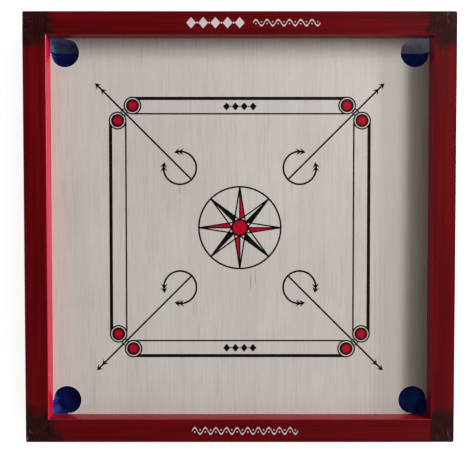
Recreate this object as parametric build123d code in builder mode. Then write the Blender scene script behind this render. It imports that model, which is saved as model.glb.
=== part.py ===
from build123d import *

import math
import os

# A square carrom board. X runs across the board, Y from the front rail to the back rail and Z up.
# The origin is the middle of the footprint, on the table that the board lies on. Millimetres.

# Driving dimensions
BOARD = 660.0  # outside size of the square frame
RAIL_WIDTH = 36.0
RAIL_HEIGHT = 44.0
SURFACE_HEIGHT = 24.0  # top of the playing surface above the table
RABBET = 10.0  # how far the panel is housed under each rail
LAMINATE_THICKNESS = 0.8
PLYWOOD_THICKNESS = 4.0
POCKET_RADIUS = 22.25
BATTEN_WIDTH = 40.0
BATTEN_THICKNESS = 18.0
NET_DEPTH = 17.7  # from the underside of the plywood to the outside of the bag's bottom

# Rounding and small clearances
EDGE_ROUNDING = 1.5
CORNER_ROUNDING = 2.5
BOTTOM_CHAMFER = 1.0
PANEL_GAP = 0.5  # room left round the panel in its rabbet
FIT = 0.2  # gap between a housed piece and the wood beside it

# Where things are, measured from the middle of the board or up from the table
HALF = BOARD / 2
OPENING_HALF = HALF - RAIL_WIDTH
RABBET_HALF = OPENING_HALF + RABBET
PANEL_HALF = RABBET_HALF - PANEL_GAP
RAIL_CENTRE = HALF - RAIL_WIDTH / 2
LAP_HEIGHT = RAIL_HEIGHT / 2
PLYWOOD_TOP = SURFACE_HEIGHT - LAMINATE_THICKNESS
PLYWOOD_BOTTOM = PLYWOOD_TOP - PLYWOOD_THICKNESS
POCKET_CENTRE = OPENING_HALF - POCKET_RADIUS
BATTEN_BOTTOM = PLYWOOD_BOTTOM - BATTEN_THICKNESS

# Batten ends: a thin tongue on each is let into a notch in the underside of the rail
TONGUE_LENGTH = 12.0
TONGUE_THICKNESS = 8.0
NOTCH_HEIGHT = BATTEN_BOTTOM + TONGUE_THICKNESS

# Beads that hold the panel up in its rabbet
BEAD_WIDTH = 9.5
BEAD_HEIGHT = 10.0
BEAD_CHAMFER = 3.0
BEAD_END = 238.0  # the beads stop short of the pocket nets
BEAD_CENTRE = RABBET_HALF - FIT - BEAD_WIDTH / 2
BEAD_BOTTOM = PLYWOOD_BOTTOM - BEAD_HEIGHT

# Pocket nets
NET_WALL = 1.2
NET_INNER_EDGE = 243.0
NET_OUTER_EDGE = RABBET_HALF - 0.6
NET_SIZE = NET_OUTER_EDGE - NET_INNER_EDGE
NET_CENTRE = (NET_OUTER_EDGE + NET_INNER_EDGE) / 2
NET_CORNER = 28.0
NET_OUTER_CORNER = 4.0
NET_BOTTOM_ROUNDING = 6.0
HEM_INNER_EDGE = 239.5
HEM_SIZE = NET_OUTER_EDGE - HEM_INNER_EDGE
HEM_CENTRE = (NET_OUTER_EDGE + HEM_INNER_EDGE) / 2
HEM_CORNER = 31.0
HEM_THICKNESS = 1.2

# Screws, brads and staples
CORNER_SCREW = (35.0, 4.0, 2.0)  # length, head radius, shank radius
BATTEN_SCREW = (22.0, 3.5, 1.75)
CENTRE_SCREW_LENGTH = 14.0
HEAD_RIM = 0.3
HEAD_SUNK = 0.3
HOLE_CLEARANCE = 0.05
TIP_CLEARANCE = 0.5
CORNER_SCREW_SPOTS = ((311.0, 323.0), (323.0, 311.0))
BATTEN_SCREW_REACH = RABBET_HALF + TONGUE_LENGTH / 2
BATTEN_SCREW_SIDE = 11.0
BRAD_RADIUS = 0.6
BRAD_LENGTH = 20.0
BRAD_HEAD_RADIUS = 1.2
BRAD_HEAD_THICKNESS = 0.5
BRAD_SPOTS = (45.0, 129.0, 213.0)
STAPLE_CROWN = 10.0
STAPLE_WIDTH = 1.2
STAPLE_WIRE = 0.6
STAPLE_LEG = 5.0
STAPLE_RING = 30.3  # from the pocket's centre, out in the hem
STAPLE_ANGLES = (180.0, 202.5, 225.0, 247.5, 270.0)
RAIL_STAPLE_HEIGHT = 12.0

CORNERS = {
    "front_left": (-1, -1),
    "front_right": (1, -1),
    "back_left": (-1, 1),
    "back_right": (1, 1),
}

os.makedirs("parts", exist_ok=True)


def finish(part, label):
    """Names a finished piece and writes it out."""
    part.label = label
    export_step(part, f"parts/{label}.step")
    print(label, round(part.volume), "cubic mm")


def upwards(x, y, z):
    """A place for something driven up into the underside of the board."""
    return Location((x, y, z), (180, 0, 0))


def screw_holes(spots, bottom, length, head_radius, shank_radius):
    """Countersunk holes up from the underside, inside the part that is being built."""
    with Locations(*[upwards(x, y, bottom) for x, y in spots]):
        CounterSinkHole(
            radius=shank_radius + HOLE_CLEARANCE,
            counter_sink_radius=head_radius + HEAD_SUNK + HEAD_RIM + HOLE_CLEARANCE,
            depth=HEAD_SUNK + length + TIP_CLEARANCE,
            counter_sink_angle=90,
        )


def countersunk_screw(length, head_radius, shank_radius):
    """A countersunk wood screw that stands on its head at the origin, point up."""
    neck = HEAD_RIM + head_radius - shank_radius
    point = 2.5 * shank_radius
    slot_length = 1.2 * head_radius
    slot_width = 0.25 * head_radius
    with BuildPart() as screw:
        with BuildSketch(Plane.XZ):
            with BuildLine():
                Polyline(
                    (0, 0),
                    (head_radius, 0),
                    (head_radius, HEAD_RIM),
                    (shank_radius, neck),
                    (shank_radius, length - point),
                    (0, length),
                    close=True,
                )
            make_face()
        revolve(axis=Axis.Z)
        with BuildSketch():
            Rectangle(slot_length, slot_width)
            Rectangle(slot_width, slot_length)
        extrude(amount=0.4 * head_radius, mode=Mode.SUBTRACT)
    return screw.part


corner_screw_spots = {
    corner: [(side_x * x, side_y * y) for x, y in CORNER_SCREW_SPOTS]
    for corner, (side_x, side_y) in CORNERS.items()
}
batten_x_spots = [
    (side * BATTEN_SCREW_REACH, across)
    for side in (-1, 1)
    for across in (-BATTEN_SCREW_SIDE, BATTEN_SCREW_SIDE)
]
batten_y_spots = [(across, along) for along, across in batten_x_spots]

# The whole frame as one ring, with its rounded edges and the rabbet for the panel. The four
# rails are cut from it, so that the rounding runs on across their joints.
with BuildPart() as frame_ring:
    with BuildSketch():
        Rectangle(BOARD, BOARD)
    extrude(amount=RAIL_HEIGHT)
    fillet(frame_ring.edges().filter_by(Axis.Z), CORNER_ROUNDING)
    with BuildSketch():
        Rectangle(2 * OPENING_HALF, 2 * OPENING_HALF)
    extrude(amount=RAIL_HEIGHT, mode=Mode.SUBTRACT)
    fillet(frame_ring.faces().sort_by(Axis.Z)[-1].edges(), EDGE_ROUNDING)
    with BuildSketch():
        Rectangle(2 * RABBET_HALF, 2 * RABBET_HALF)
    extrude(amount=SURFACE_HEIGHT, mode=Mode.SUBTRACT)
    bottom_wires = frame_ring.faces().sort_by(Axis.Z)[0].wires().sort_by(SortBy.LENGTH)
    chamfer(bottom_wires[-1].edges(), BOTTOM_CHAMFER)

# Front and back rails: full length in their lower half, which makes the lower half of each
# corner lap, and butted between the side rails above it.
for name, side in (("rail_front", -1), ("rail_back", 1)):
    with BuildPart() as end_rail:
        with BuildSketch():
            with Locations((0, side * RAIL_CENTRE)):
                Rectangle(BOARD, RAIL_WIDTH)
        extrude(amount=LAP_HEIGHT)
        with BuildSketch(Plane.XY.offset(LAP_HEIGHT)):
            with Locations((0, side * RAIL_CENTRE)):
                Rectangle(2 * OPENING_HALF, RAIL_WIDTH)
        extrude(amount=LAP_HEIGHT)
        add(frame_ring.part, mode=Mode.INTERSECT)
        with BuildSketch():
            with Locations((0, side * (RABBET_HALF + TONGUE_LENGTH / 2))):
                Rectangle(BATTEN_WIDTH + 2 * FIT, TONGUE_LENGTH)
        extrude(amount=NOTCH_HEIGHT, mode=Mode.SUBTRACT)
        for corner, (_, side_y) in CORNERS.items():
            if side_y == side:
                screw_holes(corner_screw_spots[corner], 0, *CORNER_SCREW)
        screw_holes([s for s in batten_y_spots if s[1] * side > 0], BATTEN_BOTTOM, *BATTEN_SCREW)
    finish(end_rail.part, name)

# Side rails: full length in their upper half, over the laps.
for name, side in (("rail_left", -1), ("rail_right", 1)):
    with BuildPart() as side_rail:
        with BuildSketch():
            with Locations((side * RAIL_CENTRE, 0)):
                Rectangle(RAIL_WIDTH, 2 * OPENING_HALF)
        extrude(amount=LAP_HEIGHT)
        with BuildSketch(Plane.XY.offset(LAP_HEIGHT)):
            with Locations((side * RAIL_CENTRE, 0)):
                Rectangle(RAIL_WIDTH, BOARD)
        extrude(amount=LAP_HEIGHT)
        add(frame_ring.part, mode=Mode.INTERSECT)
        with BuildSketch():
            with Locations((side * (RABBET_HALF + TONGUE_LENGTH / 2), 0)):
                Rectangle(TONGUE_LENGTH, BATTEN_WIDTH + 2 * FIT)
        extrude(amount=NOTCH_HEIGHT, mode=Mode.SUBTRACT)
        for corner, (side_x, _) in CORNERS.items():
            if side_x == side:
                screw_holes(corner_screw_spots[corner], 0, *CORNER_SCREW)
        screw_holes([s for s in batten_x_spots if s[0] * side > 0], BATTEN_BOTTOM, *BATTEN_SCREW)
    finish(side_rail.part, name)

# The playing surface: a plywood panel with a laminate skin glued on it. Each corner is cut by
# a circle that touches both rails, and the corner behind that circle is cut away.
for name, bottom, thickness in (
    ("play_panel", PLYWOOD_BOTTOM, PLYWOOD_THICKNESS),
    ("play_laminate", PLYWOOD_TOP, LAMINATE_THICKNESS),
):
    with BuildPart() as layer:
        with BuildSketch(Plane.XY.offset(bottom)):
            Rectangle(2 * PANEL_HALF, 2 * PANEL_HALF)
            with GridLocations(2 * POCKET_CENTRE, 2 * POCKET_CENTRE, 2, 2):
                Circle(POCKET_RADIUS, mode=Mode.SUBTRACT)
            corner_pitch = POCKET_CENTRE + PANEL_HALF
            corner_size = PANEL_HALF - POCKET_CENTRE
            with GridLocations(corner_pitch, corner_pitch, 2, 2):
                Rectangle(corner_size, corner_size, mode=Mode.SUBTRACT)
        extrude(amount=thickness)
    finish(layer.part, name)

# Retaining beads, two along each rail, one on either side of the batten.
bead_start = BATTEN_WIDTH / 2 + FIT
bead_length = BEAD_END - bead_start
bead_middle = (BEAD_END + bead_start) / 2
along_x = (bead_length, BEAD_WIDTH, Axis.X)
along_y = (BEAD_WIDTH, bead_length, Axis.Y)
beads = {}
for side, name in ((-1, "bead_front"), (1, "bead_back")):
    for half, suffix in ((-1, "left"), (1, "right")):
        beads[f"{name}_{suffix}"] = (half * bead_middle, side * BEAD_CENTRE, *along_x)
for side, name in ((-1, "bead_left"), (1, "bead_right")):
    for half, suffix in ((-1, "front"), (1, "back")):
        beads[f"{name}_{suffix}"] = (side * BEAD_CENTRE, half * bead_middle, *along_y)

for name, (x, y, size_x, size_y, along) in beads.items():
    with BuildPart() as bead:
        with BuildSketch(Plane.XY.offset(BEAD_BOTTOM)):
            with Locations((x, y)):
                Rectangle(size_x, size_y)
        extrude(amount=BEAD_HEIGHT)
        lower_edges = bead.edges().filter_by(along).group_by(Axis.Z)[0]
        chamfer(lower_edges.sort_by_distance((0, 0, 0))[0], BEAD_CHAMFER)
    finish(bead.part, name)

# Brads through the beads into the rails, each lying flat with its head on the bead's inner face.
with BuildPart() as brad:
    with BuildSketch():
        Circle(BRAD_RADIUS)
    extrude(amount=BRAD_LENGTH)
    with BuildSketch(Plane.XY.offset(-BRAD_HEAD_THICKNESS)):
        Circle(BRAD_HEAD_RADIUS)
    extrude(amount=BRAD_HEAD_THICKNESS)

brad_start = BEAD_CENTRE - BEAD_WIDTH / 2
brad_height = BEAD_BOTTOM + BEAD_HEIGHT / 2
brad_places = []
for side in (-1, 1):
    for spot in BRAD_SPOTS:
        for half in (-1, 1):
            into_side = Location((side * brad_start, half * spot, brad_height), (0, side * 90, 0))
            into_end = Location((half * spot, side * brad_start, brad_height), (side * -90, 0, 0))
            brad_places += [into_side, into_end]
with BuildPart() as bead_brads:
    with Locations(*brad_places):
        add(brad.part)
finish(bead_brads.part, "bead_brads")

# Two battens cross under the panel, halved into each other in the middle.
with BuildPart() as batten_x:
    with BuildSketch(Plane.XY.offset(BATTEN_BOTTOM)):
        Rectangle(2 * (RABBET_HALF - FIT), BATTEN_WIDTH)
    extrude(amount=BATTEN_THICKNESS)
    with BuildSketch(Plane.XY.offset(BATTEN_BOTTOM)):
        Rectangle(2 * (RABBET_HALF + TONGUE_LENGTH - FIT), BATTEN_WIDTH)
    extrude(amount=TONGUE_THICKNESS)
    with BuildSketch(Plane.XY.offset(BATTEN_BOTTOM + BATTEN_THICKNESS / 2)):
        Rectangle(BATTEN_WIDTH + 2 * HOLE_CLEARANCE, BATTEN_WIDTH)
    extrude(amount=BATTEN_THICKNESS / 2, mode=Mode.SUBTRACT)
    screw_holes(batten_x_spots, BATTEN_BOTTOM, *BATTEN_SCREW)
    screw_holes([(0, 0)], BATTEN_BOTTOM, CENTRE_SCREW_LENGTH, *BATTEN_SCREW[1:])
finish(batten_x.part, "batten_x")

with BuildPart() as batten_y:
    with BuildSketch(Plane.XY.offset(BATTEN_BOTTOM)):
        Rectangle(BATTEN_WIDTH, 2 * (RABBET_HALF - FIT))
    extrude(amount=BATTEN_THICKNESS)
    with BuildSketch(Plane.XY.offset(BATTEN_BOTTOM)):
        Rectangle(BATTEN_WIDTH, 2 * (RABBET_HALF + TONGUE_LENGTH - FIT))
    extrude(amount=TONGUE_THICKNESS)
    with BuildSketch(Plane.XY.offset(BATTEN_BOTTOM)):
        Rectangle(BATTEN_WIDTH, BATTEN_WIDTH + 2 * HOLE_CLEARANCE)
    extrude(amount=BATTEN_THICKNESS / 2, mode=Mode.SUBTRACT)
    screw_holes(batten_y_spots, BATTEN_BOTTOM, *BATTEN_SCREW)
    screw_holes([(0, 0)], BATTEN_BOTTOM, CENTRE_SCREW_LENGTH, *BATTEN_SCREW[1:])
finish(batten_y.part, "batten_y")

# Screws: two at each end of a batten and one through the crossing, and two up through each
# lapped corner of the frame.
batten_screw = countersunk_screw(*BATTEN_SCREW)
centre_screw = countersunk_screw(CENTRE_SCREW_LENGTH, *BATTEN_SCREW[1:])
corner_screw = countersunk_screw(*CORNER_SCREW)

with BuildPart() as batten_screws:
    with Locations(*[(x, y, BATTEN_BOTTOM + HEAD_SUNK) for x, y in batten_x_spots + batten_y_spots]):
        add(batten_screw)
    with Locations((0, 0, BATTEN_BOTTOM + HEAD_SUNK)):
        add(centre_screw)
finish(batten_screws.part, "batten_screws")

for corner, spots in corner_screw_spots.items():
    with BuildPart() as corner_screws:
        with Locations(*[(x, y, HEAD_SUNK) for x, y in spots]):
            add(corner_screw)
    finish(corner_screws.part, f"corner_screws_{corner}")

# Pocket nets: a soft bag under each pocket with a flat hem at its rim. The bag is as wide as
# the rabbets let it be on the rail sides.
for corner, (side_x, side_y) in CORNERS.items():
    with BuildPart() as net:
        with BuildSketch(Plane.XY.offset(PLYWOOD_BOTTOM - NET_DEPTH)) as bag_outline:
            with Locations((side_x * NET_CENTRE, side_y * NET_CENTRE)):
                Rectangle(NET_SIZE, NET_SIZE)
            fillet(bag_outline.vertices().sort_by_distance((0, 0, 0))[:3], NET_CORNER)
            fillet(bag_outline.vertices().sort_by_distance((0, 0, 0))[-1], NET_OUTER_CORNER)
        extrude(amount=NET_DEPTH)
        fillet(net.faces().sort_by(Axis.Z)[0].edges(), NET_BOTTOM_ROUNDING)
        offset(amount=-NET_WALL, openings=net.faces().sort_by(Axis.Z)[-1])
        with BuildSketch(Plane.XY.offset(PLYWOOD_BOTTOM - HEM_THICKNESS)) as hem_outline:
            with Locations((side_x * HEM_CENTRE, side_y * HEM_CENTRE)):
                Rectangle(HEM_SIZE, HEM_SIZE)
            fillet(hem_outline.vertices().sort_by_distance((0, 0, 0))[:3], HEM_CORNER)
            fillet(hem_outline.vertices().sort_by_distance((0, 0, 0))[-1], NET_OUTER_CORNER)
            offset(bag_outline.sketch, amount=-NET_WALL, mode=Mode.SUBTRACT)
        extrude(amount=HEM_THICKNESS)
    finish(net.part, f"pocket_net_{corner}")

# Staples: a ring of them up through the hem into the plywood, and one on each rail side.
with BuildPart() as staple:
    with BuildSketch():
        Rectangle(STAPLE_CROWN, STAPLE_WIDTH)
    extrude(amount=STAPLE_WIRE)
    with BuildSketch():
        with GridLocations(STAPLE_CROWN - STAPLE_WIRE, 0, 2, 1):
            Rectangle(STAPLE_WIRE, STAPLE_WIDTH)
    extrude(amount=STAPLE_LEG)

staple_height = PLYWOOD_BOTTOM - HEM_THICKNESS - STAPLE_WIRE
staple_reach = NET_OUTER_EDGE - NET_WALL - STAPLE_WIRE
for corner, (side_x, side_y) in CORNERS.items():
    staple_places = []
    for angle in STAPLE_ANGLES:
        x = POCKET_CENTRE + STAPLE_RING * math.cos(math.radians(angle))
        y = POCKET_CENTRE + STAPLE_RING * math.sin(math.radians(angle))
        turn = (angle + 90) * side_x * side_y
        staple_places.append(Location((side_x * x, side_y * y, staple_height), (0, 0, turn)))
    staple_places.append(
        Location((side_x * staple_reach, side_y * NET_CENTRE, RAIL_STAPLE_HEIGHT), (0, side_x * 90, 0))
    )
    staple_places.append(
        Location((side_x * NET_CENTRE, side_y * staple_reach, RAIL_STAPLE_HEIGHT), (side_y * -90, 0, 0))
    )
    with BuildPart() as net_staples:
        with Locations(*staple_places):
            add(staple.part)
    finish(net_staples.part, f"net_staples_{corner}")
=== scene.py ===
import math

import bmesh
import bpy
from mathutils import Matrix, Vector, noise


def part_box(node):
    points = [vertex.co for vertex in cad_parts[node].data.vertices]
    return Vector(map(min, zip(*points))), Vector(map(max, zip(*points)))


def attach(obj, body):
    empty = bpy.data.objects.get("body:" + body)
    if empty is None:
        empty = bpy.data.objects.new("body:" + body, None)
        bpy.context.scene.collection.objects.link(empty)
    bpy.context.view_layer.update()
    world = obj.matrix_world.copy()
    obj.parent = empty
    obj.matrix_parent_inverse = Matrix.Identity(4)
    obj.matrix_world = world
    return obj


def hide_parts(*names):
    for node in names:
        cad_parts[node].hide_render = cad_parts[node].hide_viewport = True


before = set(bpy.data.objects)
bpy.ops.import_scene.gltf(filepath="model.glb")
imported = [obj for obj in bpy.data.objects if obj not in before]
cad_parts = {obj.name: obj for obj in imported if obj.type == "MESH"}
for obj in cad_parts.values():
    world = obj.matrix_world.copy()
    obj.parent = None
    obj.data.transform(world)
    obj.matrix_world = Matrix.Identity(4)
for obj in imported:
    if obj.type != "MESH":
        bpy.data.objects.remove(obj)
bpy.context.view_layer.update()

scene = bpy.context.scene
MM = 0.001


# The frame: four hardwood rails, half-lapped at the corners and screwed from below. They are
# sprayed dark red over the grain and clear lacquered, the corners shaded with a dark stain.
# Only the rabbet under the inner edge, where the panel sits, is left bare.
RAIL_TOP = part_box("rail_front")[1].z
RAIL_WIDTH = 36 * MM
RABBET_DEPTH = 10 * MM
BOARD_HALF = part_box("rail_right")[1].x
OPENING_HALF = BOARD_HALF - RAIL_WIDTH
RABBET_HALF = OPENING_HALF + RABBET_DEPTH
LAP_HEIGHT = RAIL_TOP / 2
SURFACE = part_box("play_laminate")[1].z


def paint(red, green, blue):
    """A colour mixed as on a paint card, 0 to 255, as the linear colour that a shader takes."""
    return tuple(
        (c / 255 / 12.92 if c <= 10 else ((c / 255 + 0.055) / 1.055) ** 2.4)
        for c in (red, green, blue)
    ) + (1.0,)


def new_finish(name):
    """An empty finish and its shader."""
    finish = bpy.data.materials.new(name)
    finish.use_nodes = True
    return finish, finish.node_tree.nodes["Principled BSDF"]


def step(finish, kind, inputs=None, **settings):
    """One node of a finish. Its inputs are values or other nodes' outputs."""
    made = finish.node_tree.nodes.new("ShaderNode" + kind)
    for key, value in settings.items():
        setattr(made, key, value)
    for key, value in (inputs or {}).items():
        if isinstance(value, bpy.types.NodeSocket):
            finish.node_tree.links.new(value, made.inputs[key])
        else:
            made.inputs[key].default_value = value
    return made


def maths(finish, operation, a, b=0.0):
    return step(finish, "Math", {0: a, 1: b}, operation=operation).outputs[0]


def ramp(finish, value, start, end):
    """0 up to start, 1 from end on, and a smooth rise between them."""
    inputs = {"Value": value, "From Min": start, "From Max": end}
    made = step(finish, "MapRange", inputs, interpolation_type="SMOOTHSTEP")
    return made.outputs[0]


def mix(finish, share, under, over):
    made = step(finish, "Mix", data_type="RGBA")
    links = finish.node_tree.links
    for socket, value in ((made.inputs[0], share), (made.inputs[6], under), (made.inputs[7], over)):
        if isinstance(value, bpy.types.NodeSocket):
            links.new(value, socket)
        else:
            socket.default_value = value
    return made.outputs[2]


def tint(finish, share, strength, under, over):
    """Lays a colour over another by a share, at less than its full strength."""
    return mix(finish, maths(finish, "MULTIPLY", share, strength), under, over)


def stretched_noise(finish, place, scale, detail=3.0, roughness=0.55, distortion=0.0):
    """Noise stretched by a scale for each axis, as grain is along a board."""
    mapping = step(finish, "Mapping", {"Vector": place, "Scale": scale})
    inputs = {
        "Vector": mapping.outputs[0],
        "Scale": 1.0,
        "Detail": detail,
        "Roughness": roughness,
        "Distortion": distortion,
    }
    return step(finish, "TexNoise", inputs).outputs["Fac"]


def inverse(finish, value):
    """1 less a value."""
    return maths(finish, "SUBTRACT", 1.0, value)


def near(finish, value, centre, half):
    """1 within half of a centre, and 0 elsewhere."""
    inputs = {0: value, 1: centre, 2: half}
    return step(finish, "Math", inputs, operation="COMPARE").outputs[0]


def squares(finish, a, b):
    """The sum of two squares."""
    return maths(finish, "ADD", maths(finish, "MULTIPLY", a, a), maths(finish, "MULTIPLY", b, b))


def feed(finish, output, shader, name):
    finish.node_tree.links.new(output, shader.inputs[name])


def bump(finish, height, shader, distance, strength=1.0):
    inputs = {"Height": height, "Distance": distance, "Strength": strength}
    made = step(finish, "Bump", inputs)
    feed(finish, made.outputs[0], shader, "Normal")


RAIL_RED = paint(88, 4, 9)
RAIL_BRIGHT = paint(106, 6, 15)
RAIL_DEEP = paint(58, 4, 7)
# painted light: the wall colours are brighter than the tops, the left and right walls brightest, standing
# in for the light on them
WALL_PAINTED_LIGHT_RED = {0: paint(112, 9, 22), 1: paint(150, 13, 38)}
WALL_PAINTED_LIGHT_BRIGHT = {0: paint(128, 14, 30), 1: paint(172, 21, 48)}
CORNER_STAIN = paint(34, 10, 12)
CORNER_STAIN_LIGHT = paint(58, 24, 28)
JOINT_LINE = paint(24, 5, 6)
BARE_WOOD = paint(176, 140, 100)
BARE_WOOD_DARK = paint(140, 104, 70)
SCUFF = paint(166, 150, 148)
STAIN_REACH = (24 * MM, 4 * MM)
STAIN_WANDER = 50 * MM
STAIN_FRAY = 16 * MM
JOINT_HALF = 0.4 * MM
LAP_HALF = 0.3 * MM
ARRIS = (2.2 * MM, 0.4 * MM)
SCUFF_REACH = (24 * MM, 4 * MM)
WALL_EDGE = 1.2 * MM


def lacquered_rail(name, along):
    """Red lacquer with its grain along axis 0, across the board, or axis 1, from front to back."""
    finish, shader = new_finish(name)
    place = step(finish, "TexCoord").outputs["Object"]
    x, y, z = step(finish, "SeparateXYZ", {0: place}).outputs
    out_x = maths(finish, "ABSOLUTE", x)
    out_y = maths(finish, "ABSOLUTE", y)
    edge = maths(finish, "MAXIMUM", out_x, out_y)

    fine = [520.0, 520.0, 520.0]
    fine[along] = 11.0
    broad = [110.0, 110.0, 110.0]
    broad[along] = 3.2
    cloudy = [22.0, 22.0, 22.0]
    cloudy[along] = 6.0
    streaks = stretched_noise(finish, place, fine, detail=4.0)
    bands = stretched_noise(finish, place, broad, detail=3.0, distortion=0.4)
    clouds = stretched_noise(finish, place, cloudy, detail=2.0)
    colour = mix(finish, ramp(finish, bands, 0.36, 0.66), RAIL_RED, RAIL_BRIGHT)
    colour = tint(finish, ramp(finish, clouds, 0.5, 0.75), 0.45, colour, RAIL_DEEP)
    colour = tint(finish, ramp(finish, streaks, 0.5, 0.8), 0.55, colour, RAIL_DEEP)

    # the stain is dabbed on round each corner and fades out over a centimetre or so
    blotches = stretched_noise(finish, place, (26.0, 26.0, 26.0), detail=2.0)
    ragged = stretched_noise(finish, place, (170.0, 170.0, 170.0), detail=4.0, roughness=0.7)
    into_corner = maths(finish, "MINIMUM", out_x, out_y)
    wander = maths(finish, "MULTIPLY", maths(finish, "SUBTRACT", blotches, 0.5), STAIN_WANDER)
    fray = maths(finish, "MULTIPLY", maths(finish, "SUBTRACT", ragged, 0.5), STAIN_FRAY)
    stain_depth = maths(finish, "ADD", into_corner, maths(finish, "ADD", wander, fray))
    stain_start, stain_full = (OPENING_HALF - reach for reach in STAIN_REACH)
    stained = ramp(finish, stain_depth, stain_start, stain_full)
    if along == 0:
        # at the front right the stain stops at the joint, and the front rail stays red
        front = maths(finish, "LESS_THAN", y, 0.0)
        right = maths(finish, "GREATER_THAN", x, 0.0)
        elsewhere = inverse(finish, maths(finish, "MULTIPLY", front, right))
        stained = maths(finish, "MULTIPLY", stained, elsewhere)
    mottle = stretched_noise(finish, place, (95.0, 95.0, 95.0), detail=5.0, roughness=0.7)
    stain = mix(finish, ramp(finish, mottle, 0.42, 0.8), CORNER_STAIN, CORNER_STAIN_LIGHT)
    colour = tint(finish, stained, 0.94, colour, stain)

    # the hairline joints of the half laps, filled with dark lacquer
    at_corner = maths(
        finish,
        "MULTIPLY",
        maths(finish, "GREATER_THAN", out_x, OPENING_HALF - JOINT_HALF),
        maths(finish, "GREATER_THAN", out_y, OPENING_HALF - JOINT_HALF),
    )
    upper = maths(finish, "GREATER_THAN", z, LAP_HEIGHT)
    lower = inverse(finish, upper)
    butt = maths(
        finish,
        "ADD",
        maths(finish, "MULTIPLY", upper, near(finish, out_x, OPENING_HALF, JOINT_HALF)),
        maths(finish, "MULTIPLY", lower, near(finish, out_y, OPENING_HALF, JOINT_HALF)),
    )
    lap = near(finish, z, LAP_HEIGHT, LAP_HALF)
    joint = maths(finish, "MULTIPLY", at_corner, maths(finish, "MAXIMUM", butt, lap))
    colour = mix(finish, joint, colour, JOINT_LINE)

    # painted shade darkens the outer arris, where the round-over turns away from the light, and the corners
    # carry a few pale scuffs
    painted_arris_shade = ramp(finish, edge, BOARD_HALF - ARRIS[0], BOARD_HALF - ARRIS[1])
    colour = tint(finish, painted_arris_shade, 0.6, colour, RAIL_DEEP)
    scratches = stretched_noise(finish, place, (300.0, 110.0, 300.0), detail=6.0, roughness=0.75)
    far_corner = ramp(finish, into_corner, BOARD_HALF - SCUFF_REACH[0], BOARD_HALF - SCUFF_REACH[1])
    scuffed = maths(finish, "MULTIPLY", ramp(finish, scratches, 0.55, 0.65), far_corner)
    colour = tint(finish, scuffed, 0.6, colour, SCUFF)

    # painted light: the walls round the playing surface are painted a brighter red than the tops, the left
    # and right walls brighter than the front and back, for the light that falls on them
    above = maths(finish, "GREATER_THAN", z, SURFACE)
    wall = maths(finish, "MULTIPLY", above, maths(finish, "LESS_THAN", edge, OPENING_HALF + WALL_EDGE))
    wall_painted_light = mix(finish, ramp(finish, bands, 0.3, 0.7), WALL_PAINTED_LIGHT_RED[along], WALL_PAINTED_LIGHT_BRIGHT[along])
    colour = mix(finish, wall, colour, wall_painted_light)

    # bare wood inside the rabbet
    inside = maths(
        finish,
        "MULTIPLY",
        maths(finish, "LESS_THAN", edge, RABBET_HALF + 0.3 * MM),
        maths(finish, "LESS_THAN", z, SURFACE + 0.2 * MM),
    )
    wood = mix(finish, ramp(finish, streaks, 0.35, 0.7), BARE_WOOD, BARE_WOOD_DARK)
    colour = mix(finish, inside, colour, wood)
    feed(finish, colour, shader, "Base Color")

    gloss = maths(finish, "ADD", 0.2, maths(finish, "MULTIPLY", streaks, 0.14))
    gloss = maths(finish, "ADD", gloss, maths(finish, "MULTIPLY", inside, 0.4))
    gloss = maths(finish, "ADD", gloss, maths(finish, "MULTIPLY", scuffed, 0.25))
    feed(finish, gloss, shader, "Roughness")
    shader.inputs["Specular IOR Level"].default_value = 0.36
    bump(finish, streaks, shader, 0.0001, 0.4)
    return finish


cross_rail = lacquered_rail("red_lacquer_cross", 0)
long_rail = lacquered_rail("red_lacquer_long", 1)
for name, finish in (
    ("rail_front", cross_rail),
    ("rail_back", cross_rail),
    ("rail_left", long_rail),
    ("rail_right", long_rail),
):
    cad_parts[name].material_slots[0].material = finish


# The playing surface: a hard laminate skin printed with a pale woodgrain that runs from front
# to back, pressed on the plywood panel and polished smooth for the carrom men. A wavy stretch
# of grain at the right and a few dark flecks come with the print, and a darker band by the
# right rail is painted shadow.
POCKET_RADIUS = 22.25 * MM
POCKET_CENTRE = OPENING_HALF - POCKET_RADIUS
POCKET_LIP = 0.9 * MM
LAMINATE = paint(203, 199, 196)
LAMINATE_WARM = paint(201, 194, 193)
LAMINATE_GRAIN = paint(172, 163, 156)
LAMINATE_EDGE = paint(232, 229, 222)
FLECK = paint(84, 74, 70)
WAVY_GRAIN = 216 * MM
WAVY_FADE = (8 * MM, 26 * MM)
WAVY_START = 80 * MM
# painted shadow: where the darker band by the right rail lies, and how it fades
PAINTED_SHADOW_BAND = 236 * MM
PAINTED_SHADOW_BAND_FADE = (4 * MM, 36 * MM)
# across, along, half width and half length of each fleck, and how dark it is
FLECKS = (
    (-94 * MM, 61 * MM, 1.6 * MM, 9 * MM, 0.75),
    (17 * MM, -84 * MM, 1.1 * MM, 18 * MM, 0.6),
    (24 * MM, -78 * MM, 0.9 * MM, 13 * MM, 0.5),
    (-262 * MM, 87 * MM, 0.8 * MM, 5 * MM, 0.4),
)

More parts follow.
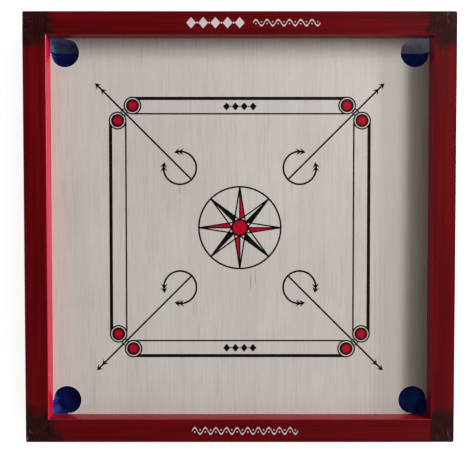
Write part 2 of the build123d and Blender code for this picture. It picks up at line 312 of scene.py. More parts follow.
finish, shader = new_finish("pale_laminate")
place = step(finish, "TexCoord").outputs["Object"]
x, y, z = step(finish, "SeparateXYZ", {0: place}).outputs
fine = stretched_noise(finish, place, (800.0, 22.0, 1.0), detail=3.0)
threads = stretched_noise(finish, place, (330.0, 11.0, 1.0), detail=3.0, distortion=0.5)
streaks = stretched_noise(finish, place, (120.0, 3.5, 1.0), detail=3.0, distortion=0.4)
bands = stretched_noise(finish, place, (15.0, 1.6, 1.0), detail=3.0, distortion=0.5)
clouds = stretched_noise(finish, place, (9.0, 6.0, 1.0), detail=3.0)
colour = mix(finish, ramp(finish, bands, 0.4, 0.62), LAMINATE, LAMINATE_WARM)
for grain, low, high, strength in (
    (clouds, 0.42, 0.7, 0.16),
    (streaks, 0.48, 0.72, 0.18),
    (threads, 0.5, 0.76, 0.40),
    (fine, 0.5, 0.74, 0.42),
):
    colour = tint(finish, ramp(finish, grain, low, high), strength, colour, LAMINATE_GRAIN)


def beside(finish, value, middle, fade):
    """1 at a middle line, and 0 from the end of its fade on either side."""
    off = maths(finish, "ABSOLUTE", maths(finish, "SUBTRACT", value, middle))
    return inverse(finish, ramp(finish, off, *fade))


# wavy grain towards the front right
wavy = step(finish, "Mapping", {"Vector": place, "Scale": (150.0, 11.0, 1.0)})
waves = step(
    finish,
    "TexWave",
    {"Vector": wavy.outputs[0], "Scale": 0.3, "Distortion": 5.0, "Detail": 2.0, "Detail Scale": 0.6},
    wave_type="BANDS",
    bands_direction="X",
).outputs["Fac"]
in_front = ramp(finish, maths(finish, "MULTIPLY", y, -1.0), 0.0, WAVY_START)
wavy_part = maths(finish, "MULTIPLY", beside(finish, x, WAVY_GRAIN, WAVY_FADE), in_front)
share = maths(finish, "MULTIPLY", wavy_part, ramp(finish, waves, 0.45, 0.95))
colour = tint(finish, share, 0.4, colour, LAMINATE_GRAIN)

# painted shadow: a broad darker band just inside the right rail, the soft edge of the rail's shadow
colour = tint(finish, beside(finish, x, PAINTED_SHADOW_BAND, PAINTED_SHADOW_BAND_FADE), 0.5, colour, LAMINATE_GRAIN)

# short dark flecks, each a thin stroke along the grain
for fleck_x, fleck_y, half_width, half_length, strength in FLECKS:
    across = maths(finish, "DIVIDE", maths(finish, "SUBTRACT", x, fleck_x), half_width)
    length = maths(finish, "DIVIDE", maths(finish, "SUBTRACT", y, fleck_y), half_length)
    mark = inverse(finish, ramp(finish, squares(finish, across, length), 0.1, 1.3))
    mark = maths(finish, "MULTIPLY", mark, ramp(finish, fine, 0.3, 0.6))
    colour = tint(finish, mark, strength, colour, FLECK)


def from_pocket(finish, x, y):
    """How far a point is from the middle of the nearest pocket."""
    off_x = maths(finish, "SUBTRACT", maths(finish, "ABSOLUTE", x), POCKET_CENTRE)
    off_y = maths(finish, "SUBTRACT", maths(finish, "ABSOLUTE", y), POCKET_CENTRE)
    return maths(finish, "SQRT", squares(finish, off_x, off_y))


# the cut edge round each pocket shows the pale core of the skin
lip = maths(finish, "LESS_THAN", from_pocket(finish, x, y), POCKET_RADIUS + POCKET_LIP)
colour = tint(finish, lip, 0.8, colour, LAMINATE_EDGE)
feed(finish, colour, shader, "Base Color")
feed(finish, maths(finish, "ADD", 0.36, maths(finish, "MULTIPLY", threads, 0.12)), shader, "Roughness")
shader.inputs["Specular IOR Level"].default_value = 0.4
bump(finish, threads, shader, 0.00003, 0.35)
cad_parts["play_laminate"].material_slots[0].material = finish


# The plywood panel under the skin: three birch plies, whose glue lines show on its cut edges,
# and a plain sanded face underneath.
PLY_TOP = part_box("play_panel")[1].z
PLY_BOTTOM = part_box("play_panel")[0].z
PLIES = 3
PLY_THICKNESS = (PLY_TOP - PLY_BOTTOM) / PLIES
finish, shader = new_finish("birch_plywood")
place = step(finish, "TexCoord").outputs["Object"]
height = step(finish, "SeparateXYZ", {0: place}).outputs["Z"]
layer = maths(finish, "DIVIDE", maths(finish, "SUBTRACT", height, PLY_BOTTOM), PLY_THICKNESS)
depth = maths(finish, "FRACT", layer)
glue = maths(finish, "GREATER_THAN", depth, 0.9)
core = near(finish, maths(finish, "FLOOR", layer), 1.0, 0.1)
grain = stretched_noise(finish, place, (260.0, 5.0, 260.0), detail=4.0, distortion=0.5)
rings = stretched_noise(finish, place, (22.0, 2.2, 22.0), detail=2.0, distortion=1.2)
colour = mix(finish, ramp(finish, rings, 0.35, 0.7), paint(205, 176, 138), paint(184, 150, 108))
colour = tint(finish, ramp(finish, grain, 0.5, 0.8), 0.5, colour, paint(150, 116, 80))
colour = tint(finish, core, 0.35, colour, paint(140, 104, 72))
colour = tint(finish, glue, 0.7, colour, paint(92, 64, 44))
feed(finish, colour, shader, "Base Color")
shader.inputs["Roughness"].default_value = 0.62
bump(finish, grain, shader, 0.00015, 0.4)
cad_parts["play_panel"].material_slots[0].material = finish


# Battens and beads: planed softwood left unfinished. The two battens cross under the panel and
# are screwed to the rails, and the beads are nailed along the rails to hold the panel up.
def planed_wood(name, along, pale, dark):
    """Softwood with its growth lines along axis 0 or 1."""
    finish, shader = new_finish(name)
    place = step(finish, "TexCoord").outputs["Object"]
    lines = [170.0, 170.0, 170.0]
    lines[along] = 4.0
    fibres = [900.0, 900.0, 900.0]
    fibres[along] = 25.0
    growth = stretched_noise(finish, place, lines, detail=2.0, distortion=0.8)
    fibre = stretched_noise(finish, place, fibres, detail=3.0)
    colour = mix(finish, ramp(finish, growth, 0.42, 0.62), pale, dark)
    colour = tint(finish, ramp(finish, fibre, 0.5, 0.8), 0.4, colour, dark)
    feed(finish, colour, shader, "Base Color")
    feed(finish, maths(finish, "ADD", 0.55, maths(finish, "MULTIPLY", fibre, 0.25)), shader, "Roughness")
    bump(finish, fibre, shader, 0.0002, 0.5)
    return finish


PINE_PALE = paint(214, 178, 128)
PINE_DARK = paint(180, 130, 78)
pine_across = planed_wood("pine_across", 0, PINE_PALE, PINE_DARK)
pine_along = planed_wood("pine_along", 1, PINE_PALE, PINE_DARK)
wood_of = {"batten_x": pine_across, "batten_y": pine_along}
for end in ("front", "back"):
    for side in ("left", "right"):
        wood_of[f"bead_{end}_{side}"] = pine_across
        wood_of[f"bead_{side}_{end}"] = pine_along
for name, finish in wood_of.items():
    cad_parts[name].material_slots[0].material = finish


# Fasteners: zinc plated steel. Screws hold the corners and the battens from below, brads the
# beads, and staples the hem of each net.
finish, shader = new_finish("zinc_plate")
place = step(finish, "TexCoord").outputs["Object"]
spangle = stretched_noise(finish, place, (700.0, 700.0, 700.0), detail=3.0)
feed(finish, mix(finish, spangle, paint(150, 150, 146), paint(205, 204, 196)), shader, "Base Color")
feed(finish, maths(finish, "ADD", 0.25, maths(finish, "MULTIPLY", spangle, 0.25)), shader, "Roughness")
shader.inputs["Metallic"].default_value = 1.0
bump(finish, spangle, shader, 0.00004, 0.4)
CORNERS = {
    "front_left": (-1, -1),
    "front_right": (1, -1),
    "back_left": (-1, 1),
    "back_right": (1, 1),
}
fasteners = ["bead_brads", "batten_screws"]
fasteners += [f"corner_screws_{corner}" for corner in CORNERS]
fasteners += [f"net_staples_{corner}" for corner in CORNERS]
for name in fasteners:
    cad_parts[name].material_slots[0].material = finish


# The printed markings: black and red screen inks, each a film that stands a hair above the
# laminate. The black goes on last, over the edges of the red.
BLACK_FILM = 0.09 * MM
RED_FILM = 0.05 * MM


def ink(name, colour, speck, disc=None):
    """A matt screen ink, a little uneven where the mesh let it through."""
    finish, shader = new_finish(name)
    place = step(finish, "TexCoord").outputs["Object"]
    uneven = stretched_noise(finish, place, (900.0, 900.0, 900.0), detail=3.0)
    patchy = stretched_noise(finish, place, (60.0, 60.0, 60.0), detail=3.0)
    laid = tint(finish, ramp(finish, uneven, 0.55, 0.8), 0.5, colour, speck)
    laid = tint(finish, ramp(finish, patchy, 0.45, 0.75), 0.25, laid, speck)
    if disc:
        # a red disc is darker towards its rim, where black ink has bled into it
        centre, dark_from, radius, darker = disc
        x, y, z = step(finish, "SeparateXYZ", {0: place}).outputs
        x, y = maths(finish, "ABSOLUTE", x), maths(finish, "ABSOLUTE", y)
        far = maths(finish, "SUBTRACT", maths(finish, "MAXIMUM", x, y), centre[0])
        close = maths(finish, "SUBTRACT", maths(finish, "MINIMUM", x, y), centre[1])
        reach = maths(finish, "SQRT", squares(finish, far, close))
        within = maths(finish, "LESS_THAN", reach, radius + 0.5 * MM)
        shade = maths(finish, "MULTIPLY", ramp(finish, reach, dark_from, radius), within)
        laid = tint(finish, shade, 0.85, laid, darker)
    feed(finish, laid, shader, "Base Color")
    feed(finish, maths(finish, "ADD", 0.45, maths(finish, "MULTIPLY", patchy, 0.15)), shader, "Roughness")
    shader.inputs["Specular IOR Level"].default_value = 0.15
    bump(finish, uneven, shader, 0.00001, 0.3)
    return finish


black_ink = ink("black_ink", paint(5, 4, 4), paint(20, 17, 17))


def rise(mesh, faces, height):
    """Raises flat faces into a film of that height, closed underneath."""
    raised = bmesh.ops.extrude_face_region(mesh, geom=faces, use_keep_orig=True)
    points = [g for g in raised["geom"] if isinstance(g, bmesh.types.BMVert)]
    bmesh.ops.translate(mesh, verts=points, vec=(0, 0, height))


def lay_patch(mesh, corners, base, film):
    """A flat patch with straight sides."""
    points = [mesh.verts.new((x, y, base)) for x, y in corners]
    rise(mesh, [mesh.faces.new(points)], film)


def lay_line(mesh, start, end, width, base, film):
    """A straight line of ink, square at both ends."""
    start, end = Vector(start), Vector(end)
    run = end - start
    middle = (start + end) / 2
    place = (
        Matrix.Translation((middle.x, middle.y, base + film / 2))
        @ Matrix.Rotation(math.atan2(run.y, run.x), 4, "Z")
        @ Matrix.Diagonal((run.length, width, film, 1.0))
    )
    bmesh.ops.create_cube(mesh, size=1.0, matrix=place)


def lay_disc(mesh, centre, radius, base, film, steps=64):
    place = Matrix.Translation((centre[0], centre[1], base + film / 2))
    bmesh.ops.create_cone(
        mesh, cap_ends=True, segments=steps, radius1=radius, radius2=radius, depth=film, matrix=place
    )


def lay_ring(mesh, centre, outer, width, base, film, start=0.0, sweep=2 * math.pi, steps=96):
    """A round line, or an arc of one, swept from its own square section."""
    whole = sweep >= 2 * math.pi - 1e-6
    turned = Matrix.Translation((centre[0], centre[1], 0)) @ Matrix.Rotation(start, 4, "Z")
    section = [
        (outer - width, base),
        (outer, base),
        (outer, base + film),
        (outer - width, base + film),
    ]
    points = [mesh.verts.new(turned @ Vector((radius, 0, z))) for radius, z in section]
    sides = [mesh.edges.new((a, b)) for a, b in zip(points, points[1:] + points[:1])]
    swept = points + sides
    if not whole:
        swept.append(mesh.faces.new(points))
    bmesh.ops.spin(
        mesh,
        geom=swept,
        cent=(centre[0], centre[1], 0),
        axis=(0, 0, 1),
        angle=sweep,
        steps=max(6, int(steps * sweep / (2 * math.pi))),
        use_merge=whole,
    )


def lay_arrowhead(mesh, tip, angle, length, width, base, film):
    """A barbed head that points along an angle."""
    notch = 0.62 * length
    turned = Matrix.Translation((tip[0], tip[1], base)) @ Matrix.Rotation(angle, 4, "Z")
    outline = [(0, 0), (-length, width / 2), (-notch, 0), (-length, -width / 2)]
    point, left, middle, right = (mesh.verts.new(turned @ Vector((x, y, 0))) for x, y in outline)
    # two leaves, so that the notched outline is never filled across its notch
    leaves = [mesh.faces.new((point, left, middle)), mesh.faces.new((point, middle, right))]
    rise(mesh, leaves, film)


def settle(mesh, name, finish, doubles=1e-7):
    """Turns a finished bmesh into a piece of the board, with its faces turned outwards."""
    bmesh.ops.remove_doubles(mesh, verts=mesh.verts[:], dist=doubles)
    bmesh.ops.recalc_face_normals(mesh, faces=mesh.faces[:])
    data = bpy.data.meshes.new(name)
    mesh.to_mesh(data)
    mesh.free()
    piece = bpy.data.objects.new(name, data)
    scene.collection.objects.link(piece)
    data.materials.append(finish)
    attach(piece, "root")
    return piece


def turned_point(point, quarter):
    """A point in the board's plane, turned by quarters of a turn about the middle."""
    turned = Matrix.Rotation(quarter * math.pi / 2, 2) @ Vector(point)
    return (turned.x, turned.y)


# Base lines and their end circles: a thick outer and a thin inner line in front of each rail,
# closed at both ends by a ring round a red disc with a black rim.
BASE_OUTER = (198.9 * MM, 203.9 * MM)
BASE_INNER = 177.6 * MM
BASE_INNER_WIDTH = 2.3 * MM
BASE_INNER_STOP = 3 * MM
BASE_CIRCLE_ACROSS = 190.3 * MM
BASE_CIRCLE_ALONG = 167 * MM
BASE_RING = (13.9 * MM, 2.1 * MM)
BASE_DISC_RIM = 10.2 * MM
BASE_DISC = 7.6 * MM
RED_DARK = paint(80, 6, 18)
base_red = ink(
    "base_red_ink",
    paint(182, 4, 33),
    paint(154, 5, 27),
    disc=((BASE_CIRCLE_ACROSS, BASE_CIRCLE_ALONG), 3.8 * MM, BASE_DISC, RED_DARK),
)

lines = bmesh.new()
rings = bmesh.new()
discs = bmesh.new()
for quarter in range(4):
    # the thick line is cut off where it meets the rings, so nothing shows inside them
    outline = []
    for across, half in ((BASE_OUTER[0], -1), (BASE_OUTER[0], 1), (BASE_OUTER[1], 1), (BASE_OUTER[1], -1)):
        from_circle = across - BASE_CIRCLE_ACROSS
        bite = math.sqrt(max(0.0, (BASE_RING[0] - BASE_RING[1] / 2) ** 2 - from_circle**2))
        outline.append(turned_point((half * (BASE_CIRCLE_ALONG - bite), -across), quarter))
    lay_patch(lines, outline, SURFACE, BLACK_FILM)
    reach = BASE_CIRCLE_ALONG - BASE_INNER_STOP
    thin = [turned_point((half * reach, -BASE_INNER), quarter) for half in (-1, 1)]
    lay_line(lines, *thin, BASE_INNER_WIDTH, SURFACE, BLACK_FILM)
    for half in (-1, 1):
        centre = turned_point((half * BASE_CIRCLE_ALONG, -BASE_CIRCLE_ACROSS), quarter)
        lay_ring(rings, centre, *BASE_RING, SURFACE, BLACK_FILM)
        lay_ring(rings, centre, BASE_DISC_RIM, BASE_DISC_RIM - BASE_DISC, SURFACE, BLACK_FILM)
        lay_disc(discs, centre, BASE_DISC + 0.3 * MM, SURFACE, RED_FILM)
settle(lines, "base_lines", black_ink)
settle(rings, "base_rings", black_ink)
settle(discs, "base_discs", base_red)


# Corner arrows: a thin line from each pocket towards the middle with two barbed heads, through
# a small ring between the base circles, and round its inner end an open ring with arrowheads.
ARROW_TIP = 225 * MM
ARROW_END = 75.4 * MM
ARROW_WIDTH = 2.6 * MM
LINE_INTO_HEAD = 3 * MM
HEAD_PITCH = 12 * MM
HEAD_SIZE = (9 * MM, 10.5 * MM)
SMALL_RING = (180 * MM, 5.5 * MM, 1.5 * MM)
ARC_CENTRE = 93.5 * MM
ARC_OUTER = 27.0 * MM
ARC_WIDTH = 2.8 * MM
ARC_GAP = math.radians(49)
ARC_HEAD = (9 * MM, 11 * MM)
ARC_HEAD_PITCH = 6 * MM
ARC_TRIM = 4 * MM

arrows = bmesh.new()
for side_x, side_y in CORNERS.values():
    outward = math.atan2(side_y, side_x)
    step_back = Vector((-math.cos(outward), -math.sin(outward)))
    tip = Vector((side_x, side_y)) * ARROW_TIP
    inner_end = Vector((side_x, side_y)) * ARROW_END
    lay_line(arrows, tip + step_back * LINE_INTO_HEAD, inner_end, ARROW_WIDTH, SURFACE, BLACK_FILM)
    for head in range(2):
        lay_arrowhead(arrows, tip + step_back * head * HEAD_PITCH, outward, *HEAD_SIZE, SURFACE, BLACK_FILM)
    across, outer, width = SMALL_RING
    lay_ring(arrows, (side_x * across, side_y * across), outer, width, SURFACE, BLACK_FILM, steps=48)

    centre = Vector((side_x, side_y)) * ARC_CENTRE
    middle_radius = ARC_OUTER - ARC_WIDTH / 2
    trim = ARC_TRIM / middle_radius
    lay_ring(
        arrows,
        centre,
        ARC_OUTER,
        ARC_WIDTH,
        SURFACE,
        BLACK_FILM,
        start=outward + ARC_GAP / 2 + trim,
        sweep=2 * math.pi - ARC_GAP - 2 * trim,
    )
    for turn in (-1, 1):
        for head in range(2):
            back = head * ARC_HEAD_PITCH / middle_radius
            at = outward + turn * (ARC_GAP / 2 + back)
            tip = centre + middle_radius * Vector((math.cos(at), math.sin(at)))
            lean = turn * ARC_HEAD[0] / 2 / middle_radius
            pointing = at - turn * math.pi / 2 + lean
            lay_arrowhead(arrows, tip, pointing, *ARC_HEAD, SURFACE, BLACK_FILM)
settle(arrows, "corner_arrows", black_ink)


# The centre star: eight slim points in a ring round a red disc. One half of every point is
# filled, red on the four that face the rails and black on the four between them.
STAR_RING = (65.3 * MM, 2.6 * MM)
STAR_TIP = 64 * MM
STAR_BASE = 10 * MM
STAR_LINE = 2.1 * MM
STAR_CENTRE_LINE = 2.1 * MM
STAR_DISC = 11.6 * MM
STAR_DISC_RIM = 2.0 * MM
star_red_ink = ink(
    "star_red_ink",
    paint(176, 4, 32),
    paint(148, 5, 26),
    disc=((0, 0), 9.5 * MM, STAR_DISC, RED_DARK),
)
POINTS = 8
POINT_TURN = 2 * math.pi / POINTS

# an edge of a point runs from its tip to the side of the middle, and meets its neighbour's
# edge in a valley half way round to the next point
valley_share = STAR_TIP / (STAR_TIP + STAR_BASE / math.tan(POINT_TURN / 2))
valley = Vector((STAR_TIP * (1 - valley_share), STAR_BASE * valley_share))
neighbour_base = Vector((STAR_BASE * math.sin(POINT_TURN), STAR_BASE * math.cos(POINT_TURN)))
low_valley = Vector((valley.x, -valley.y))
reach = low_valley.y / (low_valley.y - neighbour_base.y)
crossing = low_valley + (neighbour_base - low_valley) * reach

star_lines = bmesh.new()
star_black = bmesh.new()
star_red = bmesh.new()
lay_ring(star_lines, (0, 0), *STAR_RING, SURFACE, BLACK_FILM, steps=128)
lay_ring(star_lines, (0, 0), STAR_DISC + STAR_DISC_RIM, STAR_DISC_RIM, SURFACE, BLACK_FILM, steps=64)
lay_disc(star_red, (0, 0), STAR_DISC + 0.2 * MM, SURFACE, RED_FILM)
for point in range(POINTS):
    turned = Matrix.Rotation(point * POINT_TURN, 2)
    tip = turned @ Vector((STAR_TIP, 0))
    for side in (-1, 1):
        inner = Matrix.Rotation((point + side) * POINT_TURN, 2) @ crossing
        lay_line(star_lines, tip, inner, STAR_LINE, SURFACE, BLACK_FILM)
    lay_line(star_lines, tip, turned @ crossing, STAR_CENTRE_LINE, SURFACE, BLACK_FILM)
    outline = [tip, turned @ low_valley, turned @ crossing]
    if point % 2:
        lay_patch(star_black, outline, SURFACE, 0.9 * BLACK_FILM)
    else:
        lay_patch(star_red, outline, SURFACE, RED_FILM)
settle(star_lines, "star_lines", black_ink)
settle(star_black, "star_black_halves", black_ink)
settle(star_red, "star_red_halves", star_red_ink)


# Pocket nets: a square of close-woven blue cloth hung under each pocket, cut with slack, its
# edge doubled over into a hem, stitched, and stapled to the underside of the panel. It hangs in
# a shallow bag just clear of the table. A pale strip of painted light lies along the back of each
# back net, and the right nets are painted brighter than the left.
PANEL_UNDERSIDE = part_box("play_panel")[0].z
NET_CLEARANCE = 0.5 * MM
HEM_GAP = 0.3 * MM
HEM_THICKNESS = 0.9 * MM
HEM_WIDTH = 4.4 * MM
HEM_CORNER = 28 * MM
TIGHT_CORNER = 4 * MM
HELD_CORNER = 17 * MM
CLOTH_THICKNESS = 0.5 * MM
CLOTH_SLACK = 0.10
HANGING_STEPS = 40
BAG_FLOOR = 2.6 * MM
BAG_CELLS = 46
BAG_SLOPE = 0.34
FOLD_PITCH = 62
FOLD_RANGE = (0.93, 0.07)
SMOOTHINGS = 3
STRIP_START = 276 * MM
STRIP_LIFT = 0.7 * MM
STITCH_PITCH = 3.0 * MM
STITCH_SIZE = (1.1 * MM, 0.25 * MM, 0.2 * MM)
THREADS = 92.0
# painted shade on the nets: where it begins and is full, and its colour
PAINTED_SHADE = (14 * MM, 25 * MM)
PAINTED_SHADE_BLUE = paint(3, 7, 34)


def woven_cloth(name, dark, bright, strip=False):
    """Blue cloth woven from flat glossy thread, on the cloth's own map."""
    finish, shader = new_finish(name)
    own = step(finish, "UVMap").outputs[0]
    u, v = step(finish, "SeparateXYZ", {0: own}).outputs[:2]
    over_u = maths(finish, "SINE", maths(finish, "MULTIPLY", u, THREADS * 2 * math.pi))
    over_v = maths(finish, "SINE", maths(finish, "MULTIPLY", v, THREADS * 2 * math.pi))
    weave = maths(finish, "MULTIPLY", over_u, over_v)
    weave = maths(finish, "ADD", maths(finish, "MULTIPLY", weave, 0.5), 0.5)
    place = step(finish, "TexCoord").outputs["Object"]
    uneven = stretched_noise(finish, place, (70.0, 70.0, 70.0), detail=4.0)
    slubs = stretched_noise(finish, own, (9.0, 160.0, 1.0), detail=3.0)
    colour = mix(finish, ramp(finish, uneven, 0.35, 0.7), dark, bright)
    colour = tint(finish, inverse(finish, weave), 0.45, colour, dark)
    if strip:
        colour = tint(finish, ramp(finish, slubs, 0.45, 0.75), 0.35, colour, bright)
        shader.inputs["Specular IOR Level"].default_value = 0.12
        dullest = 0.7
    else:
        # painted shade: darker away from the middle of the pocket, where the cloth lies under the board and
        # out of the light
        x, y = step(finish, "SeparateXYZ", {0: place}).outputs[:2]
        painted_shade = ramp(finish, from_pocket(finish, x, y), *PAINTED_SHADE)
        colour = tint(finish, painted_shade, 0.8, colour, PAINTED_SHADE_BLUE)
        shader.inputs["Specular IOR Level"].default_value = 0.25
        dullest = 0.45
    feed(finish, colour, shader, "Base Color")
    feed(finish, maths(finish, "ADD", dullest, maths(finish, "MULTIPLY", uneven, 0.2)), shader, "Roughness")
    height = maths(finish, "ADD", weave, maths(finish, "MULTIPLY", slubs, 0.5))
    bump(finish, height, shader, 0.0002, 0.5)
    return finish


# painted light: the right nets are a brighter blue than the left, to lift them out of the shade of the
# right rail
net_blue_painted_light = {
    -1: woven_cloth("net_blue_left", paint(14, 50, 186), paint(30, 86, 222)),
    1: woven_cloth("net_blue_right", paint(34, 82, 226), paint(66, 124, 244)),
}
# painted light: the pale strip over the back nets, much paler on the right to lift it out of the right
# rail's shade
net_pale_painted_light = {
    -1: woven_cloth("net_pale_left", paint(86, 104, 160), paint(120, 138, 188), strip=True),
    1: woven_cloth("net_pale_right", paint(196, 208, 240), paint(222, 230, 250), strip=True),
}
thread, shader = new_finish("net_thread")
place = step(thread, "TexCoord").outputs["Object"]
twist = stretched_noise(thread, place, (1500.0, 1500.0, 1500.0), detail=2.0)
feed(thread, mix(thread, twist, paint(150, 160, 190), paint(196, 202, 220)), shader, "Base Color")
shader.inputs["Roughness"].default_value = 0.6
bump(thread, twist, shader, 0.0001, 0.5)


def outline_of_net(mesh, centre, half, sides, z):
    """A flat face with three round corners, and a nearly square one in the board's corner."""
    place = Matrix.Translation((centre.x, centre.y, z))
    bmesh.ops.create_grid(mesh, x_segments=1, y_segments=1, size=half, matrix=place)
    board_corner = max(mesh.verts, key=lambda vert: vert.co.xy @ Vector(sides))
    round_corners = [vert for vert in mesh.verts if vert != board_corner]
    for verts, radius in ((round_corners, HEM_CORNER), ([board_corner], TIGHT_CORNER)):
        bmesh.ops.bevel(
            mesh,
            geom=verts,
            affect="VERTICES",
            offset=radius,
            segments=10,
            profile=0.5,
            material=-1,
        )


def past_hem(offset, half, sides, board_corner=TIGHT_CORNER):
    """How far a point is outside the net's outline, and negative inside it."""
    in_board_corner = offset.x * sides[0] > 0 and offset.y * sides[1] > 0
    radius = board_corner if in_board_corner else HEM_CORNER
    across = abs(offset.x) - (half - radius)
    along = abs(offset.y) - (half - radius)
    return math.hypot(max(across, 0.0), max(along, 0.0)) + min(max(across, along), 0.0) - radius


def thicken(mesh, thickness):
    """Gives a sheet its thickness and turns its faces outwards."""
    bmesh.ops.recalc_face_normals(mesh, faces=mesh.faces[:])
    bmesh.ops.solidify(mesh, geom=mesh.faces[:], thickness=thickness)


for corner, (side_x, side_y) in CORNERS.items():
    low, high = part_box(f"pocket_net_{corner}")
    centre = Vector(((low.x + high.x) / 2, (low.y + high.y) / 2, 0))
    half = (high.x - low.x) / 2 - NET_CLEARANCE
    top = PANEL_UNDERSIDE - HEM_GAP - HEM_THICKNESS / 2

    # the bag, laid out as a shallow cup with the creases the cloth was folded with
    bag = bmesh.new()
    bag.loops.layers.uv.new("UVMap")
    place = Matrix.Translation((centre.x, centre.y, top))
    bmesh.ops.create_grid(
        bag, x_segments=BAG_CELLS, y_segments=BAG_CELLS, size=half, matrix=place, calc_uvs=True
    )
    sides = (side_x, side_y)
    outside = [v for v in bag.verts if past_hem(v.co - centre, half, sides) > -0.4 * MM]
    bmesh.ops.delete(bag, geom=outside, context="VERTS")
    depth = top - BAG_FLOOR
    held = []
    for vert in bag.verts:
        inside = -past_hem(vert.co - centre, half, sides, HELD_CORNER) - HEM_WIDTH
        if inside <= 0:
            held.append(vert.index)
            continue
        share = min(1.0, inside / (BAG_SLOPE * half))
        place = Vector((vert.co.x * FOLD_PITCH, vert.co.y * FOLD_PITCH, 3.0 * side_x + side_y))
        fold = FOLD_RANGE[0] + FOLD_RANGE[1] * noise.noise(place)
        vert.co.z -= depth * math.sin(share * math.pi / 2) * fold
    data = bpy.data.meshes.new(f"net_bag_{corner}")
    bag.to_mesh(data)
    bag.free()
    net = bpy.data.objects.new(f"net_bag_{corner}", data)
    scene.collection.objects.link(net)
    net.vertex_groups.new(name="hem").add(held, 1.0, "REPLACE")
    cloth = net.modifiers.new("cloth", "CLOTH")
    cloth.settings.quality = 6
    cloth.settings.mass = 0.12
    cloth.settings.tension_stiffness = 22.0
    cloth.settings.compression_stiffness = 22.0
    cloth.settings.shear_stiffness = 8.0
    cloth.settings.bending_stiffness = 0.03
    cloth.settings.vertex_group_mass = "hem"
    cloth.settings.shrink_min = -CLOTH_SLACK
    cloth.collision_settings.use_collision = False
    cloth.point_cache.frame_end = HANGING_STEPS
    for frame_number in range(1, HANGING_STEPS + 1):
        scene.frame_set(frame_number)
    hung = bpy.data.meshes.new_from_object(net.evaluated_get(bpy.context.evaluated_depsgraph_get()))
    net.modifiers.clear()
    net.vertex_groups.clear()
    net.data = hung
    hung.name = f"net_bag_{corner}"
    scene.frame_set(1)

    # the slack lies flat on the floor of the bag, and the sheet gets its thickness
    bag = bmesh.new()
    bag.from_mesh(net.data)
    for vert in bag.verts:
        vert.co.z = max(vert.co.z, BAG_FLOOR)
    for _ in range(SMOOTHINGS):
        bmesh.ops.smooth_vert(bag, verts=[v for v in bag.verts if not v.is_boundary], factor=0.5)
    # painted light: a pale sheet laid over the back of each back bag, for the light seen through the net
    # there
    strip = None
    if side_y > 0:
        strip = bag.copy()
        ahead = [f for f in strip.faces if f.calc_center_median().y < STRIP_START]
        bmesh.ops.delete(strip, geom=ahead, context="FACES")
        for vert in strip.verts:
            vert.co += vert.normal * STRIP_LIFT
    thicken(bag, CLOTH_THICKNESS)
    bag.to_mesh(net.data)
    bag.free()
    for polygon in net.data.polygons:
        polygon.use_smooth = True
    net.data.materials.clear()
    net.data.materials.append(net_blue_painted_light[side_x])
    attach(net, "root")
    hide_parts(f"pocket_net_{corner}")

    # the hem, a flat doubled band under the panel, and its row of stitches
    hem = bmesh.new()
    outline_of_net(hem, centre, half, sides, top - HEM_THICKNESS / 2)
    bmesh.ops.inset_region(
        hem, faces=hem.faces[:], thickness=HEM_WIDTH, use_boundary=True, use_even_offset=True
    )
    middle = max(hem.faces, key=lambda face: face.calc_area())
    bmesh.ops.delete(hem, geom=[middle], context="FACES_ONLY")
    rise(hem, hem.faces[:], HEM_THICKNESS)
    hem.loops.layers.uv.new("UVMap")
    for face in hem.faces:
        for loop in face.loops:
            loop[hem.loops.layers.uv[0]].uv = (loop.vert.co.xy - centre.xy) / (2 * half)
    hem_piece = settle(hem, f"net_hem_{corner}", net_blue_painted_light[side_x])

    seam = bmesh.new()
    outline_of_net(seam, centre, half - 0.6 * HEM_WIDTH, sides, top - HEM_THICKNESS / 2)
    run = [loop.vert.co.copy() for loop in next(iter(seam.faces)).loops]
    seam.free()
    stitches = bmesh.new()
    since_last = 0.0
    for start, end in zip(run, run[1:] + run[:1]):
        ahead = end - start
        along = STITCH_PITCH - since_last
        while along < ahead.length:
            spot = start + ahead * (along / ahead.length)
            place = (
                Matrix.Translation(spot)
                @ Matrix.Rotation(math.atan2(ahead.y, ahead.x), 4, "Z")
                @ Matrix.Diagonal((*STITCH_SIZE, 1.0))
            )
            bmesh.ops.create_icosphere(stitches, subdivisions=1, radius=1.0, matrix=place)
            along += STITCH_PITCH
        since_last = ahead.length - (along - STITCH_PITCH)
    stitch_piece = settle(stitches, f"net_stitches_{corner}", thread)

    if strip:
        thicken(strip, CLOTH_THICKNESS)
        painted_light_sheet = settle(strip, f"net_strip_painted_light_{corner}", net_pale_painted_light[side_x], doubles=1e-9)
        for polygon in painted_light_sheet.data.polygons:
            polygon.use_smooth = True


# Ornaments: a bold row of lozenges and a fine running wave with dots, screened in white on the
# back rail, another wave on the front rail, and black lozenges between the base lines.
white_ink = ink("white_ink", paint(205, 196, 198), paint(172, 158, 162))
RAIL_MIDDLE = BOARD_HALF - RAIL_WIDTH / 2
RAIL_FILM = 0.04 * MM


def lay_row(mesh, middle, length, height, base, film, count):
    """Lozenges in a row with a dot between each pair."""
    x, y = middle
    pitch = length / count
    for number in range(count):
        at = x + (number - (count - 1) / 2) * pitch
        reach_x, reach_y = 0.4 * pitch, height / 2
        corners = [(at - reach_x, y), (at, y - reach_y), (at + reach_x, y), (at, y + reach_y)]
        lay_patch(mesh, corners, base, film)
        if number:
            lay_disc(mesh, (at - pitch / 2, y), 0.08 * height, base, film, steps=20)


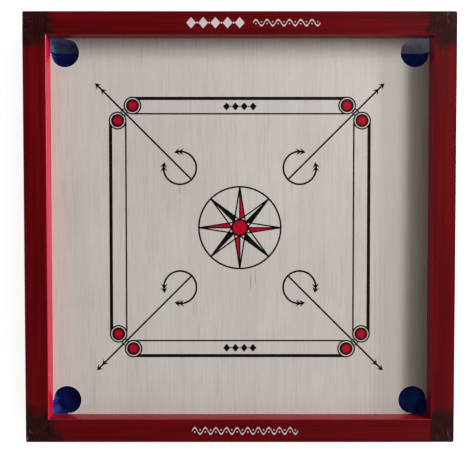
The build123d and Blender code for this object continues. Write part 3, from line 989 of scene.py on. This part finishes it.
def lay_wave(mesh, middle, length, height, width, base, film, waves):
    """A running wave of even width, with a dot in each hollow."""
    x, y = middle
    steps = 16 * waves
    start = x - length / 2
    low = mesh.verts.new((start, y - width / 2, base))
    high = mesh.verts.new((start, y + width / 2, base))
    edge = mesh.edges.new((low, high))
    faces = []
    for number in range(1, steps + 1):
        before = math.sin(2 * math.pi * waves * (number - 1) / steps)
        after = math.sin(2 * math.pi * waves * number / steps)
        grown = bmesh.ops.extrude_edge_only(mesh, edges=[edge])["geom"]
        moved = [g for g in grown if isinstance(g, bmesh.types.BMVert)]
        bmesh.ops.translate(
            mesh, verts=moved, vec=(length / steps, (after - before) * height / 2, 0)
        )
        faces += [g for g in grown if isinstance(g, bmesh.types.BMFace)]
        edge = mesh.edges.get(moved)
    rise(mesh, faces, film)
    for number in range(2 * waves):
        at = start + (number + 0.5) * length / (2 * waves)
        side = -1 if number % 2 == 0 else 1
        lay_disc(mesh, (at, y + side * 0.16 * height), 0.11 * height, base, film, steps=16)


white = bmesh.new()
lay_row(white, (-37 * MM, RAIL_MIDDLE), 92 * MM, 17 * MM, RAIL_TOP, RAIL_FILM, 5)
lay_wave(white, (71 * MM, RAIL_MIDDLE), 102 * MM, 9 * MM, 2.4 * MM, RAIL_TOP, RAIL_FILM, 6)
lay_wave(white, (8 * MM, -RAIL_MIDDLE), 163 * MM, 10 * MM, 2.4 * MM, RAIL_TOP, RAIL_FILM, 10)
settle(white, "rail_ornaments", white_ink)

black = bmesh.new()
for side in (-1, 1):
    lay_row(black, (0, side * 189 * MM), 55 * MM, 12.5 * MM, SURFACE, BLACK_FILM, 4)
settle(black, "surface_ornaments", black_ink)


# Floor, light and camera: a pale floor, one soft key light low on the right and a little to
# the back, and a pale surround that is dark straight overhead.
bpy.ops.mesh.primitive_plane_add(size=200.0)
floor = bpy.context.object
floor.name = "floor"
finish, shader = new_finish("pale_floor")
shader.inputs["Base Color"].default_value = (0.9, 0.9, 0.9, 1.0)
shader.inputs["Roughness"].default_value = 0.8
shader.inputs["Emission Color"].default_value = (1.0, 1.0, 1.0, 1.0)
shader.inputs["Emission Strength"].default_value = 0.8
floor.data.materials.append(finish)

KEY_ELEVATION = math.radians(23.5)
KEY_TURN = math.radians(27)
KEY_DISTANCE = 5.0
KEY_HALF_WIDTH = math.radians(23)
KEY_HALF_HEIGHT = math.radians(4)
key_data = bpy.data.lights.new("key", "AREA")
key_data.shape = "RECTANGLE"
key_data.size = 2 * KEY_DISTANCE * math.tan(KEY_HALF_WIDTH)
key_data.size_y = 2 * KEY_DISTANCE * math.tan(KEY_HALF_HEIGHT)
key_data.energy = 425.0
key_data.color = (1.0, 0.975, 0.985)
key = bpy.data.objects.new("key", key_data)
towards_key = Vector(
    (
        math.cos(KEY_ELEVATION) * math.cos(KEY_TURN),
        math.cos(KEY_ELEVATION) * math.sin(KEY_TURN),
        math.sin(KEY_ELEVATION),
    )
)
key.location = towards_key * KEY_DISTANCE
key.rotation_euler = towards_key.to_track_quat("Z", "Y").to_euler()
scene.collection.objects.link(key)

SKY_BAND = {"From Min": 0.6, "From Max": 0.88, "To Min": 0.6, "To Max": 0.02}
WINDOW_SIDE = 0.75
surround = bpy.data.worlds.new("studio")
surround.use_nodes = True
scene.world = surround
direction = step(surround, "TexCoord").outputs["Generated"]
sky = step(surround, "SeparateXYZ", {0: direction}).outputs
fade = step(surround, "MapRange", {"Value": sky["Z"], **SKY_BAND}, interpolation_type="SMOOTHSTEP")
lit_side = maths(surround, "ADD", maths(surround, "MULTIPLY", sky["X"], WINDOW_SIDE), 1.0)
background = surround.node_tree.nodes["Background"]
background.inputs["Color"].default_value = (1.0, 0.97, 0.87, 1.0)
feed(surround, maths(surround, "MULTIPLY", fade.outputs[0], lit_side), background, "Strength")

# the camera itself sees a plain white backdrop, level with the floor
backdrop = step(surround, "Background", {"Color": (1.0, 1.0, 1.0, 1.0), "Strength": 1.0})
rays = step(surround, "LightPath").outputs["Is Camera Ray"]
seen = step(surround, "MixShader", {0: rays, 1: background.outputs[0], 2: backdrop.outputs[0]})
feed(surround, seen.outputs[0], surround.node_tree.nodes["World Output"], "Surface")

CAMERA_PLACE = (0.0, 0.055, 0.854)
CAMERA_TILT = math.radians(-1.3)
camera_data = bpy.data.cameras.new("camera")
camera_data.sensor_width = 36.0
camera_data.lens = 40.35
camera_data.shift_x = -0.006
camera_data.shift_y = -0.042
camera_data.clip_start = 0.01
camera = bpy.data.objects.new("camera", camera_data)
camera.location = CAMERA_PLACE
camera.rotation_euler = (CAMERA_TILT, 0.0, 0.0)
scene.collection.objects.link(camera)
scene.camera = camera
scene.view_settings.view_transform = "Standard"
